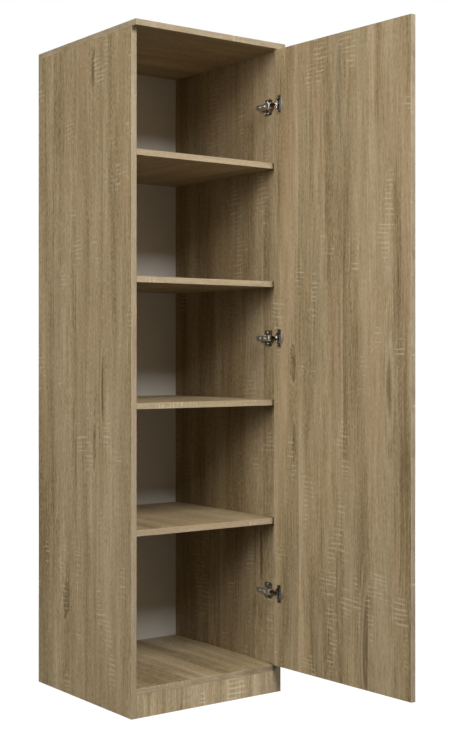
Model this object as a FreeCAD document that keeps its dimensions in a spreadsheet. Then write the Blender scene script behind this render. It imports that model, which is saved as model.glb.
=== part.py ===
import FreeCAD, Part
import math
import os
import re

import Sketcher

# A tall, narrow store cupboard with one hinged door and four shelves, made of 16 mm
# laminated chipboard.  The frame: the origin is on the floor, at the middle of the width,
# in the plane of the side panels' front edges; X to the right, Y to the back, Z up.
# The door is hung on the right and stands open.

DIMENSIONS = (
    ("cabinet_width", 500, "outside width over the side panels"),
    ("cabinet_height", 1800, "floor to the upper face of the top panel"),
    ("side_depth", 480, "front edge to rear edge of a side panel"),
    ("board", 16, "thickness of every laminated board"),
    ("band", 1, "thickness of the plastic edge bands"),
    ("band_round", 0.8, "rounding of the bands' outer edges"),
    ("top_overhang", 20, "how far the top panel reaches over the door"),
    ("plinth_height", 60, "height of the plinth below the bottom panel"),
    ("shelf_setback", 2, "gap between the shelves and the back panel"),
    ("bottom_space", 393, "clear height of the lowest compartment"),
    ("shelf_pitch", 328.5, "distance from one shelf to the next"),
    ("back_thickness", 3, "hardboard back panel"),
    ("back_margin", 2, "how far the back panel stays inside the outline"),
    ("door_gap", 2, "gap between the closed door and the carcass"),
    ("door_reveal", 2, "gap at the door's sides, top and bottom"),
    ("dowel_radius", 4, "wooden dowel"),
    ("dowel_length", 30, "wooden dowel"),
    ("dowel_in_face", 10, "how deep a dowel sits in the face of a board"),
    ("fit_gap", 0.05, "running clearance on a radius"),
    ("top_screw_radius", 3.3, "screw that ties the top panel to a side panel"),
    ("top_screw_head", 4.9, "radius of its head"),
    ("top_screw_head_height", 3, "height of its head, under the cap"),
    ("top_screw_length", 50, "screw that ties the top panel to a side panel"),
    ("cap_thickness", 1.2, "cap over the head, flush with the top"),
    ("joint_setback", 60, "fasteners, from the front or rear edge of a board"),
    ("joint_spread", 40, "dowel beside each fastener"),
    ("cam_radius", 7.5, "turning cam under the bottom panel"),
    ("cam_depth", 12.5, "turning cam under the bottom panel"),
    ("cam_setback", 34, "cam axis, from the end of the bottom panel"),
    ("bolt_radius", 3.3, "bolt that the cam pulls"),
    ("bolt_in_side", 11, "length of the bolt's thread in the side panel"),
    ("pin_radius", 2.5, "steel pin that carries a shelf"),
    ("pin_length", 16, "half in the side panel, half under the shelf"),
    ("pin_setback", 50, "shelf pins, from the front and rear edge"),
    ("nail_radius", 0.75, "nail of the back panel"),
    ("nail_head", 2, "radius of the nail's head"),
    ("nail_head_thickness", 0.5, "nail of the back panel"),
    ("nail_length", 18, "nail of the back panel"),
    ("nail_margin", 30, "first and last nail, from the ends of the back panel"),
    ("hinge_height_top", 1630, "height of a hinge above the floor"),
    ("hinge_height_middle", 984, "height of a hinge above the floor"),
    ("hinge_height_bottom", 279, "height of a hinge above the floor"),
    ("door_open_angle", 93, "from closed to where the door stands"),
    ("lever_turn", 44.8, "how far the hinge lever turns in that swing"),
    ("arm_pivot_inset", 20, "arm pin, from the side panel's inner face"),
    ("arm_pivot_depth", 10.4, "arm pin, behind the carcass front"),
    ("cup_pivot_inset", 8.6, "cup pin, from the door's hinge edge"),
    ("cup_pivot_depth", 3.2, "cup pin, below the door's inner face"),
    ("lever_width", 8, "height of the outer lever"),
    ("lever_thickness", 1.6, "steel of the levers"),
    ("lever_eye", 2.2, "radius of the levers' eyes"),
    ("lever_hook_along", 1.6, "bend of the lever, back from the cup pin"),
    ("lever_hook_rise", 6.2, "bend of the lever, off the line of the pins"),
    ("inner_lever_low", 4.4, "inner lever's near face, from the hinge's middle"),
    ("inner_lever_high", 5.8, "inner lever's far face, from the hinge's middle"),
    ("hinge_pin_radius", 1.25, "rivet pins of the hinge"),
    ("cup_pin_half", 9.9, "half the length of the cup pin"),
    ("arm_front", 0.3, "carcass front to the front end of the arm"),
    ("arm_length", 60, "carcass front to the rear end of the arm"),
    ("arm_wall", 1.2, "sheet of the hinge arm"),
    ("arm_half_width", 7.2, "half the outside height of the arm"),
    ("arm_rise", 23.8, "arm's outer face, from the side panel"),
    ("arm_skirt", 15.8, "depth of the arm's side walls"),
    ("arm_nose", 4, "slanted corners at the arm's front end"),
    ("arm_heel", 6, "slanted corner at the arm's rear end, near the panel"),
    ("arm_bend", 2, "small corner at the arm's rear end"),
    ("arm_rivet_head", 0.6, "height of the pin's heads on the arm"),
    ("plate_thickness", 2.5, "wings of the mounting plate"),
    ("plate_wing", 22.5, "half the height over the plate's wings"),
    ("plate_wing_round", 6.3, "rounding of the wings' corners"),
    ("plate_front", 15.5, "front edge of the wings"),
    ("plate_rear", 48, "rear edge of the wings"),
    ("spine_front", 15, "front end of the plate's spine"),
    ("spine_rear", 56, "rear end of the plate's spine"),
    ("spine_half_width", 5.7, "half the height of the plate's spine"),
    ("spine_rise", 21.6, "spine's outer face, from the side panel"),
    ("system_line", 37, "line of the plate screws behind the front edge"),
    ("system_pitch", 32, "distance between the two plate screws"),
    ("plate_screw_radius", 3, "thread of a plate screw"),
    ("plate_screw_head", 4.2, "radius of its head"),
    ("plate_screw_head_height", 1.6, "height of its head"),
    ("plate_screw_depth", 11, "length of its thread in the side panel"),
    ("fixing_screw_depth", 44, "screw that clamps the arm, behind the front"),
    ("adjusting_screw_depth", 26, "screw that sets the door sideways"),
    ("arm_screw_radius", 2, "thread of the arm's two screws"),
    ("arm_screw_length", 10, "shank of the arm's two screws"),
    ("arm_screw_hole", 12, "depth of their holes in the spine"),
    ("arm_screw_head", 3.6, "radius of their heads"),
    ("arm_screw_head_height", 1.8, "height of their heads"),
    ("cup_radius", 17.4, "hinge cup let into the door"),
    ("cup_depth", 11.8, "hinge cup let into the door"),
    ("cup_wall", 1, "sheet of the hinge cup"),
    ("cup_inset", 21.5, "middle of the cup, from the door's hinge edge"),
    ("cup_rim", 18, "radius of the rim that lies on the door"),
    ("cup_rim_height", 0.4, "thickness of the rim"),
    ("cup_flange_height", 1.4, "thickness of the cup's flange"),
    ("cup_mouth", 25.5, "far side of the cup's opening, from the door's hinge edge"),
    ("cup_wing", 24.5, "half the height of the cup's flange"),
    ("cup_wing_half_width", 8, "half the width of the cup's flange"),
    ("cup_screw_rise", 20.2, "cup screws, above and below the middle"),
    ("cup_screw_radius", 1.8, "thread of a cup screw"),
    ("cup_screw_head", 3.6, "radius of its head"),
    ("cup_screw_head_height", 0.9, "height of its head"),
    ("cup_screw_depth", 12, "length of its thread in the door"),
    ("recess_width", 0.9, "cross recess of the screws"),
    ("recess_length", 4.4, "cross recess of the screws"),
    ("recess_depth", 0.7, "cross recess of the screws"),
    ("past", 1, "how far a cutting shape reaches past what it cuts"),
)

doc = FreeCAD.newDocument("store_cupboard")
sheet = doc.addObject("Spreadsheet::Sheet", "dims")
for row, (alias, value, note) in enumerate(DIMENSIONS, start=1):
    sheet.set(f"A{row}", note)
    sheet.set(f"B{row}", str(value))
    sheet.setAlias(f"B{row}", alias)
doc.recompute()

ALIASES = {alias for alias, _, _ in DIMENSIONS}
AXIS_TURN = {
    "x": FreeCAD.Rotation(FreeCAD.Vector(0, 1, 0), 90),
    "y": FreeCAD.Rotation(FreeCAD.Vector(1, 0, 0), -90),
    "z": FreeCAD.Rotation(),
}
Z_AXIS = FreeCAD.Vector(0, 0, 1)
TOLERANCE = 1e-6
HINGES = ("top", "middle", "bottom")
subparts = []


def size(alias):
    """The number in the sheet's cell of that name."""
    return float(sheet.get(alias))


def bound(text):
    """An expression in which every word that names a cell is read from the sheet."""

    def cell(word):
        return "dims." + word.group() if word.group() in ALIASES else word.group()

    return re.sub(r"[a-z_]+", cell, str(text))


def value_of(text):
    """The number that such an expression stands for."""
    item = doc.getObject("scratch") or doc.addObject("App::FeaturePython", "scratch")
    if "value" not in item.PropertiesList:
        item.addProperty("App::PropertyFloat", "value")
    item.setExpression("value", bound(text))
    item.recompute()
    return item.value


def place(item, x, y, z):
    """The item moved to a point whose coordinates are bound to the sheet."""
    for axis, text in zip("xyz", (x, y, z)):
        item.setExpression(f"Placement.Base.{axis}", bound(text))
    return item


def box(name, x, y, z):
    """A box between a low and a high limit along each axis."""
    item = doc.addObject("Part::Box", name)
    for side, (low, high) in zip(("Length", "Width", "Height"), (x, y, z)):
        item.setExpression(side, bound(f"({high}) - ({low})"))
    return place(item, x[0], y[0], z[0])


def rod(name, axis, radius, length, x, y, z):
    """A cylinder that starts at a point and runs along an axis."""
    item = doc.addObject("Part::Cylinder", name)
    item.Placement = FreeCAD.Placement(FreeCAD.Vector(), AXIS_TURN[axis])
    item.setExpression("Radius", bound(radius))
    item.setExpression("Height", bound(length))
    return place(item, x, y, z)


def joined(name, pieces):
    """One solid of several that overlap."""
    item = doc.addObject("Part::MultiFuse", name)
    item.Shapes = pieces
    return item


def gathered(name, pieces):
    """Several separate solids kept as one object."""
    item = doc.addObject("Part::Compound", name)
    item.Links = pieces
    return item


def cut(name, base, tools):
    """The base less the tools."""
    item = doc.addObject("Part::Cut", name)
    item.Base = base
    item.Tool = tools[0] if len(tools) == 1 else gathered(name + "_holes", tools)
    return item


def rounded(name, base, radius, wanted):
    """The base with a radius on the edges that wanted(edge) picks."""
    doc.recompute()
    item = doc.addObject("Part::Fillet", name)
    item.Base = base
    picked = [n for n, edge in enumerate(base.Shape.Edges, start=1) if wanted(edge)]
    item.Edges = [(n, size(radius), size(radius)) for n in picked]
    return item


def along(edge, axis):
    """True for a straight edge that runs along an axis."""
    start, end = edge.Vertexes[0].Point, edge.Vertexes[-1].Point
    return abs(getattr((end - start).normalize(), axis)) > 1 - TOLERANCE


def subpart(item, label):
    """The item kept as a sub-part of that name."""
    item.Label = label
    subparts.append(item)
    return item


def cross_recess(name, axis, x, y, z):
    """Two crossed slots, sunk below a screw head's face along +x or +y."""
    half, deep, slim = "recess_length / 2", "recess_depth", "recess_width / 2"
    slots = []
    for number, (wide, tall) in enumerate(((half, slim), (slim, half))):
        up = (f"{z} - {tall}", f"{z} + {tall}")
        if axis == "x":
            limits = ((x, f"{x} + {deep}"), (f"{y} - {wide}", f"{y} + {wide}"), up)
        else:
            limits = ((f"{x} - {wide}", f"{x} + {wide}"), (y, f"{y} + {deep}"), up)
        slots.append(box(f"{name}_{number}", *limits))
    return slots


# Places that several pieces share, in the sheet's words.
RIGHT = "cabinet_width / 2"
INNER = "(cabinet_width / 2 - board)"
SIDE_TOP = "(cabinet_height - board)"
FLOOR_TOP = "(plinth_height + board)"
SIDES = (("left", "-1"), ("right", "1"))
FRONT_AND_REAR = (("front", "joint_setback", "1"), ("rear", "side_depth - joint_setback", "-1"))
SHELF_NUMBERS = (1, 2, 3, 4)


def shelf_underside(number):
    """The height of a shelf's lower face; shelf 1 is the lowest."""
    return f"({FLOOR_TOP} + bottom_space + {number - 1} * shelf_pitch)"


# ---------------------------------------------------------------- fasteners of the carcass

FLOOR_MIDDLE = f"{FLOOR_TOP} - board / 2"


def dowel_rods(name, grow):
    """The carcass dowels, listed under each board they enter, grown by a clearance to make holes."""
    rods = {board: [] for board in ("left", "right", "top", "bottom", "plinth")}
    radius, long = f"dowel_radius + {grow}", f"dowel_length + 2 * {grow}"
    low = f"{SIDE_TOP} + dowel_in_face - dowel_length - {grow}"
    starts = {
        "left": f"-({INNER} + dowel_in_face + {grow})",
        "right": f"{INNER} + dowel_in_face - dowel_length - {grow}",
    }
    for side, sign in SIDES:
        middle = f"{sign} * ({RIGHT} - board / 2)"
        for end, setback, inward in FRONT_AND_REAR:
            beside = f"({setback} + {inward} * joint_spread)"
            upper = rod(f"{name}_{side}_{end}_top", "z", radius, long, middle, beside, low)
            lower = rod(f"{name}_{side}_{end}", "x", radius, long, starts[side], beside, FLOOR_MIDDLE)
            rods[side] += [upper, lower]
            rods["top"].append(upper)
            rods["bottom"].append(lower)
        for quarter in (1, 3):
            level = f"plinth_height * {quarter} / 4"
            peg = rod(f"{name}_{side}_plinth_{quarter}", "x", radius, long, starts[side], "board / 2", level)
            rods[side].append(peg)
            rods["plinth"].append(peg)
    return rods


def bolt_rods(name, grow):
    """The bolts between the side panels and the bottom panel, listed under each board they enter."""
    rods = {board: [] for board in ("left", "right", "bottom")}
    starts = {"left": f"-({INNER} + bolt_in_side)", "right": f"{INNER} - cam_setback"}
    for side, _ in SIDES:
        for end, setback, _ in FRONT_AND_REAR:
            bolt = rod(
                f"{name}_{side}_{end}", "x", f"bolt_radius + {grow}", "cam_setback + bolt_in_side",
                starts[side], setback, FLOOR_MIDDLE,
            )
            rods[side].append(bolt)
            rods["bottom"].append(bolt)
    return rods


dowels = dowel_rods("dowel", "0")
dowel_holes = dowel_rods("dowel_hole", "fit_gap")
bolts = bolt_rods("bolt", "0")
bolt_holes = bolt_rods("bolt_hole", "fit_gap")
subpart(gathered("wood_dowels", dowels["left"] + dowels["right"]), "wood_dowels")
subpart(gathered("cam_bolts", bolts["bottom"]), "cam_bolts")

HEAD_TOP = "(cabinet_height - cap_thickness)"


def top_screw(name, sign, setback, grow, head_room):
    """A screw driven down through the top panel; head_room is the free height over its head."""
    x = f"{sign} * ({RIGHT} - board / 2)"
    shank = rod(
        f"{name}_shank", "z", f"top_screw_radius + {grow}", f"top_screw_length + {grow}",
        x, setback, f"{HEAD_TOP} - top_screw_length - {grow}",
    )
    head = rod(
        f"{name}_head", "z", f"top_screw_head + {grow}", f"top_screw_head_height + {grow} + {head_room}",
        x, setback, f"{HEAD_TOP} - top_screw_head_height - {grow}",
    )
    return joined(name, [shank, head])


top_screws, top_caps = [], []
top_holes = {"left": [], "right": [], "top": []}
for side, sign in SIDES:
    for end, setback, _ in FRONT_AND_REAR:
        top_screws.append(top_screw(f"top_screw_{side}_{end}", sign, setback, "0", "0"))
        hole = top_screw(f"top_hole_{side}_{end}", sign, setback, "fit_gap", "cap_thickness")
        top_holes[side].append(hole)
        top_holes["top"].append(hole)
        x = f"{sign} * ({RIGHT} - board / 2)"
        cap = rod(f"cap_{side}_{end}", "z", "top_screw_head", "cap_thickness", x, setback, HEAD_TOP)
        top_caps.append(cap)
subpart(gathered("top_screws", top_screws), "top_screws")
subpart(gathered("top_screw_caps", top_caps), "top_screw_caps")

cams, cam_holes = [], []
for side, sign in SIDES:
    for end, setback, _ in FRONT_AND_REAR:
        x = f"{sign} * ({INNER} - cam_setback)"
        blank = rod(f"cam_blank_{side}_{end}", "z", "cam_radius", "cam_depth", x, setback, "plinth_height")
        cams.append(cut(f"cam_{side}_{end}", blank, [bolt_holes["bottom"][len(cams)]]))
        hole = rod(
            f"cam_hole_{side}_{end}", "z", "cam_radius + fit_gap", "cam_depth + fit_gap",
            x, setback, "plinth_height",
        )
        cam_holes.append(hole)
subpart(gathered("cam_fittings", cams), "cam_fittings")


# ---------------------------------------------------------------- shelves and their pins

PIN_HALF = "pin_length / 2"
PIN_STARTS = {"left": f"-({INNER} + {PIN_HALF})", "right": f"({INNER} - {PIN_HALF})"}
PIN_ROOMS = {
    "left": (f"-{INNER}", f"-{INNER} + {PIN_HALF} + past"),
    "right": (f"{INNER} - {PIN_HALF} - past", INNER),
}
pin_holes = {"left": [], "right": []}
for number in SHELF_NUMBERS:
    underside = shelf_underside(number)
    pin_middle = f"({underside} + pin_radius + fit_gap)"
    board_shape = box(
        f"shelf_board_{number}",
        (f"-{INNER}", INNER),
        ("band", "side_depth - shelf_setback"),
        (underside, f"{underside} + board"),
    )
    pins, pockets = [], []
    for side, _ in SIDES:
        start = PIN_STARTS[side]
        for end, depth in (("front", "pin_setback"), ("rear", "(side_depth - pin_setback)")):
            tag = f"{number}_{side}_{end}"
            pins.append(rod(f"pin_{tag}", "x", "pin_radius", "pin_length", start, depth, pin_middle))
            hole = rod(f"pin_hole_{tag}", "x", "pin_radius + fit_gap", "pin_length", start, depth, pin_middle)
            pin_holes[side].append(hole)
            wide = "(pin_radius + fit_gap)"
            pocket = box(
                f"pocket_{tag}",
                PIN_ROOMS[side],
                (f"{depth} - {wide}", f"{depth} + {wide}"),
                (underside, f"{underside} + 2 * pin_radius + fit_gap"),
            )
            pockets.append(pocket)
    subpart(cut(f"shelf_{number}", board_shape, pockets), f"shelf_{number}")
    subpart(gathered(f"shelf_{number}_pins", pins), f"shelf_{number}_pins")


# ---------------------------------------------------------------- the carcass boards

plate_screw_holes = []
for hinge in HINGES:
    for level, sign in (("low", "-1"), ("high", "1")):
        z = f"hinge_height_{hinge} + {sign} * system_pitch / 2"
        hole = rod(
            f"plate_hole_{hinge}_{level}", "x", "plate_screw_radius + fit_gap", "plate_screw_depth + fit_gap",
            INNER, "system_line", z,
        )
        plate_screw_holes.append(hole)

for side, sign in SIDES:
    across = (f"-{RIGHT}", f"-{INNER}") if side == "left" else (INNER, RIGHT)
    blank = box(f"{side}_side_blank", across, ("band", "side_depth"), ("0", SIDE_TOP))
    holes = dowel_holes[side] + bolt_holes[side] + top_holes[side] + pin_holes[side]
    if side == "right":
        holes = holes + plate_screw_holes
    subpart(cut(f"{side}_side_panel", blank, holes), f"{side}_side_panel")

top_blank = box(
    "top_blank",
    (f"-{RIGHT} + band", f"{RIGHT} - band"),
    ("band - top_overhang", "side_depth"),
    (SIDE_TOP, "cabinet_height"),
)
subpart(cut("top_panel", top_blank, dowel_holes["top"] + top_holes["top"]), "top_panel")
bottom_blank = box("bottom_blank", (f"-{INNER}", INNER), ("band", "side_depth"), ("plinth_height", FLOOR_TOP))
bottom_holes = dowel_holes["bottom"] + bolt_holes["bottom"] + cam_holes
subpart(cut("bottom_panel", bottom_blank, bottom_holes), "bottom_panel")
plinth_blank = box("plinth_blank", (f"-{INNER}", INNER), ("0", "board"), ("0", "plinth_height"))
subpart(cut("plinth_panel", plinth_blank, dowel_holes["plinth"]), "plinth_panel")
back = box(
    "back_panel",
    (f"-{RIGHT} + back_margin", f"{RIGHT} - back_margin"),
    ("side_depth", "side_depth + back_thickness"),
    ("plinth_height", "cabinet_height - back_margin"),
)
subpart(back, "back_panel")


# ---------------------------------------------------------------- nails of the back panel

def nail(name, x, z):
    """A small nail driven forwards through the back panel until its head is flush."""
    face = "side_depth + back_thickness"
    shank = rod(f"{name}_shank", "y", "nail_radius", "nail_length", x, f"{face} - nail_length", z)
    head = rod(f"{name}_head", "y", "nail_head", "nail_head_thickness", x, f"{face} - nail_head_thickness", z)
    return joined(name, [shank, head])


NAILS_UP, NAILS_ACROSS = 12, 3
nails = []
nailed_height = "(cabinet_height - plinth_height - 2 * nail_margin)"
for step in range(NAILS_UP):
    z = f"plinth_height + nail_margin + {step} * {nailed_height} / {NAILS_UP - 1}"
    for side, sign in SIDES:
        nails.append(nail(f"nail_{side}_{step}", f"{sign} * ({RIGHT} - board / 2)", z))
for level, z in (("top", "cabinet_height - board / 2"), ("bottom", "plinth_height + board / 2")):
    for step in range(NAILS_ACROSS):
        x = f"({step} - 1) * cabinet_width / 4"
        nails.append(nail(f"nail_{level}_{step}", x, z))
subpart(gathered("back_nails", nails), "back_nails")


# ---------------------------------------------------------------- edge bands

def band_strip(name, run, x, y, z, outer):
    """A strip of edge band along an axis, with its two outer edges rounded."""
    blank = box(f"{name}_blank", x, y, z)
    axis, level = outer
    face = value_of(level)

    def on_face(edge):
        return along(edge, run) and abs(getattr(edge.CenterOfMass, axis) - face) < TOLERANCE

    return rounded(name, blank, "band_round", on_face)


side_bands = []
for side, _ in SIDES:
    across = (f"-{RIGHT}", f"-{INNER}") if side == "left" else (INNER, RIGHT)
    strip = band_strip(f"{side}_side_band", "z", across, ("0", "band"), ("0", SIDE_TOP), ("y", "0"))
    side_bands.append(strip)
subpart(gathered("side_edge_bands", side_bands), "side_edge_bands")

shelf_bands = []
for name, low in [("bottom", "plinth_height")] + [(f"shelf_{n}", shelf_underside(n)) for n in SHELF_NUMBERS]:
    limits = ((f"-{INNER}", INNER), ("0", "band"), (low, f"{low} + board"))
    shelf_bands.append(band_strip(f"{name}_band", "x", *limits, ("y", "0")))
subpart(gathered("shelf_edge_bands", shelf_bands), "shelf_edge_bands")

top_z = (SIDE_TOP, "cabinet_height")
top_front_y = ("-top_overhang", "band - top_overhang")
top_side_y = ("band - top_overhang", "side_depth")
top_left_x, top_right_x = (f"-{RIGHT}", f"-{RIGHT} + band"), (f"{RIGHT} - band", RIGHT)
top_bands = [
    band_strip("top_front_band", "x", (f"-{RIGHT}", RIGHT), top_front_y, top_z, ("y", "-top_overhang")),
    band_strip("top_left_band", "y", top_left_x, top_side_y, top_z, ("x", f"-{RIGHT}")),
    band_strip("top_right_band", "y", top_right_x, top_side_y, top_z, ("x", RIGHT)),
]
subpart(gathered("top_edge_bands", top_bands), "top_edge_bands")


# ---------------------------------------------------------------- the hinges' geometry

def turned(point, degrees):
    """A plan point turned about the origin."""
    return FreeCAD.Rotation(Z_AXIS, degrees).multVec(point)


arm_pivot = FreeCAD.Vector(value_of(f"{INNER} - arm_pivot_inset"), size("arm_pivot_depth"), 0)
hinge_edge = value_of(f"{RIGHT} - door_reveal")
closed_corner = FreeCAD.Vector(hinge_edge, -size("door_gap"), 0)
cup_pivot_in_door = FreeCAD.Vector(size("cup_pivot_inset"), size("cup_pivot_depth"), 0)
closed_pivot = closed_corner - cup_pivot_in_door
lever_closed = closed_pivot - arm_pivot
lever_open = turned(lever_closed, -size("lever_turn"))
open_pivot = arm_pivot + lever_open
door_heading = 180 + size("door_open_angle")
door_place = FreeCAD.Placement(
    open_pivot - turned(cup_pivot_in_door, door_heading), FreeCAD.Rotation(Z_AXIS, door_heading)
)
lever_reach = lever_open.Length
lever_heading = math.degrees(math.atan2(lever_open.y, lever_open.x))
lever_place = FreeCAD.Placement(arm_pivot, FreeCAD.Rotation(Z_AXIS, lever_heading))


# ---------------------------------------------------------------- hinge pieces on the carcass

def raised(item, hinge, base=FreeCAD.Placement()):
    """Sets a piece that is drawn at height zero at the height of its hinge."""
    item.Placement = base
    item.setExpression("Placement.Base.z", bound(f"hinge_height_{hinge}"))
    return item


def sketch_on(body, role, name):
    """A new sketch on one of the body's own planes."""
    sketch = body.newObject("Sketcher::SketchObject", name)
    plane = [item for item in body.Origin.OriginFeatures if item.Role == role][0]
    sketch.AttachmentSupport = (plane, [""])
    sketch.MapMode = "FlatFace"
    return sketch


def add_outline(sketch, corners):
    """A closed outline of straight lines whose corners are bound to the sheet."""
    points = [FreeCAD.Vector(value_of(x), value_of(y), 0) for x, y in corners]
    for number, point in enumerate(points):
        sketch.addGeometry(Part.LineSegment(point, points[(number + 1) % len(points)]), False)
    for number in range(len(points)):
        sketch.addConstraint(Sketcher.Constraint("Coincident", number, 2, (number + 1) % len(points), 1))
    for number, (x, y) in enumerate(corners):
        for kind, text in (("DistanceX", x), ("DistanceY", y)):
            index = sketch.addConstraint(Sketcher.Constraint(kind, -1, 1, number, 1, value_of(text)))
            sketch.renameConstraint(index, f"{kind}_{number}")
            sketch.setExpression(f"Constraints.{kind}_{number}", bound(text))


def symmetric(feature, length):
    """The feature made as long to both sides of its sketch."""
    feature.SideType = "Symmetric"
    feature.setExpression("Length", bound(length))
    return feature


def hinge_arm(hinge):
    """A channel of bent sheet: a web outside, two side walls towards the side panel."""
    body = doc.addObject("PartDesign::Body", f"arm_body_{hinge}")
    outer, inner = f"{INNER} - arm_rise", f"{INNER} - arm_rise + arm_skirt"
    profile = sketch_on(body, "XY_Plane", f"arm_profile_{hinge}")
    outline = [
        (outer, "arm_front + arm_nose"),
        (f"{outer} + arm_nose", "arm_front"),
        (f"{inner} - arm_nose", "arm_front"),
        (inner, "arm_front + arm_nose"),
        (inner, "arm_length - arm_heel"),
        (f"{inner} - arm_heel", "arm_length"),
        (f"{outer} + arm_bend", "arm_length"),
        (outer, "arm_length - arm_bend"),
    ]
    add_outline(profile, outline)
    pad = body.newObject("PartDesign::Pad", f"arm_pad_{hinge}")
    pad.Profile = profile
    symmetric(pad, "2 * arm_half_width")
    channel = sketch_on(body, "XY_Plane", f"arm_channel_{hinge}")
    near, far = f"{outer} + arm_wall", f"{inner} + past"
    front, rear = "arm_front - past", "arm_length + past"
    add_outline(channel, [(near, front), (far, front), (far, rear), (near, rear)])
    pocket = body.newObject("PartDesign::Pocket", f"arm_pocket_{hinge}")
    pocket.Profile = channel
    symmetric(pocket, "2 * (arm_half_width - arm_wall)")
    body.Tip = pocket
    pin = rod(
        f"arm_pin_hole_{hinge}", "z", "hinge_pin_radius + fit_gap", "2 * arm_half_width + 2 * past",
        f"{INNER} - arm_pivot_inset", "arm_pivot_depth", "-arm_half_width - past",
    )
    holes = [pin]
    for use in ("fixing", "adjusting"):
        hole = rod(
            f"arm_{use}_hole_{hinge}", "x", "arm_screw_radius + 2 * fit_gap", "arm_wall + 2 * past",
            f"{outer} - past", f"{use}_screw_depth", "0",
        )
        holes.append(hole)
    return cut(f"hinge_arm_{hinge}", body, holes)


def hinge_plate(hinge):
    """A cross-shaped plate: wings for the two screws, and a spine that carries the arm."""
    wings = box(
        f"plate_wings_{hinge}",
        (f"{INNER} - plate_thickness", INNER),
        ("plate_front", "plate_rear"),
        ("-plate_wing", "plate_wing"),
    )
    soft = rounded(f"plate_lobes_{hinge}", wings, "plate_wing_round", lambda edge: along(edge, "x"))
    spine = box(
        f"plate_spine_{hinge}",
        (f"{INNER} - spine_rise", INNER),
        ("spine_front", "spine_rear"),
        ("-spine_half_width", "spine_half_width"),
    )
    holes = []
    for level, sign in (("low", "-1"), ("high", "1")):
        hole = rod(
            f"plate_bore_{hinge}_{level}", "x", "plate_screw_radius + fit_gap", "plate_thickness + 2 * past",
            f"{INNER} - plate_thickness - past", "system_line", f"{sign} * system_pitch / 2",
        )
        holes.append(hole)
    for use in ("fixing", "adjusting"):
        hole = rod(
            f"spine_bore_{hinge}_{use}", "x", "arm_screw_radius + fit_gap", "arm_screw_hole",
            f"{INNER} - spine_rise - past", f"{use}_screw_depth", "0",
        )
        holes.append(hole)
    return cut(f"hinge_plate_{hinge}", joined(f"plate_whole_{hinge}", [soft, spine]), holes)


def plate_screws(hinge):
    """Two screws that hold the plate to the side panel."""
    screws = []
    for level, sign in (("low", "-1"), ("high", "1")):
        z = f"{sign} * system_pitch / 2"
        face = f"{INNER} - plate_thickness"
        top = f"({face} - plate_screw_head_height)"
        shank = rod(
            f"plate_shank_{hinge}_{level}", "x", "plate_screw_radius", "plate_thickness + plate_screw_depth",
            face, "system_line", z,
        )
        head = rod(
            f"plate_head_{hinge}_{level}", "x", "plate_screw_head", "plate_screw_head_height",
            top, "system_line", z,
        )
        whole = joined(f"plate_screw_{hinge}_{level}", [shank, head])
        slots = cross_recess(f"plate_recess_{hinge}_{level}", "x", top, "system_line", z)
        screws.append(cut(f"plate_screw_cut_{hinge}_{level}", whole, slots))
    return gathered(f"hinge_plate_screws_{hinge}", screws)


def arm_screws(hinge):
    """The clamping screw and the adjusting screw, both through the arm's web."""
    screws = []
    face = f"{INNER} - arm_rise"
    for use in ("fixing", "adjusting"):
        depth = f"{use}_screw_depth"
        shank = rod(f"{use}_shank_{hinge}", "x", "arm_screw_radius", "arm_screw_length", face, depth, "0")
        top = f"({face} - arm_screw_head_height)"
        head = rod(f"{use}_head_{hinge}", "x", "arm_screw_head", "arm_screw_head_height", top, depth, "0")
        whole = joined(f"{use}_screw_{hinge}", [shank, head])
        slots = cross_recess(f"{use}_recess_{hinge}", "x", top, depth, "0")
        screws.append(cut(f"{use}_screw_cut_{hinge}", whole, slots))
    return gathered(f"hinge_arm_screws_{hinge}", screws)


def arm_pin(hinge):
    """The rivet that the levers turn on at the arm."""
    x, y = f"{INNER} - arm_pivot_inset", "arm_pivot_depth"
    shank = rod(f"arm_rivet_{hinge}", "z", "hinge_pin_radius", "2 * arm_half_width", x, y, "-arm_half_width")
    heads = []
    for level, start in (("low", "-arm_half_width - arm_rivet_head"), ("high", "arm_half_width")):
        head = rod(f"arm_rivet_{level}_{hinge}", "z", "2 * hinge_pin_radius", "arm_rivet_head", x, y, start)
        heads.append(head)
    return joined(f"hinge_arm_pin_{hinge}", [shank] + heads)


# ---------------------------------------------------------------- hinge levers

def bar(name, start, end, low, high):
    """A flat bar in plan between two points, between two heights."""
    run = end - start
    item = doc.addObject("Part::Box", name)
    item.Length = run.Length
    item.setExpression("Width", bound("lever_thickness"))
    item.setExpression("Height", bound(f"({high}) - ({low})"))
    heading = FreeCAD.Rotation(Z_AXIS, math.degrees(math.atan2(run.y, run.x)))
    shift = heading.multVec(FreeCAD.Vector(0, -size("lever_thickness") / 2, 0))
    item.Placement = FreeCAD.Placement(start + shift, heading)
    item.setExpression("Placement.Base.z", bound(low))
    return item


def lever(name, low, high):
    """A hooked lever from the arm pin, at the origin, to the cup pin along +X."""
    pins = (FreeCAD.Vector(), FreeCAD.Vector(lever_reach, 0, 0))
    bend = FreeCAD.Vector(lever_reach - size("lever_hook_along"), -size("lever_hook_rise"), 0)
    height = f"({high}) - ({low})"
    pieces = [bar(f"{name}_long", pins[0], bend, low, high), bar(f"{name}_hook", bend, pins[1], low, high)]
    pieces.append(rod(f"{name}_bend", "z", "lever_thickness / 2", height, str(bend.x), str(bend.y), low))
    bores = []
    for tag, pin in zip(("arm", "cup"), pins):
        pieces.append(rod(f"{name}_eye_{tag}", "z", "lever_eye", height, str(pin.x), str(pin.y), low))
        bore = rod(
            f"{name}_bore_{tag}", "z", "hinge_pin_radius + fit_gap", f"{height} + 2 * past",
            str(pin.x), str(pin.y), f"{low} - past",
        )
        bores.append(bore)
    return cut(name, joined(f"{name}_whole", pieces), bores)


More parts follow.
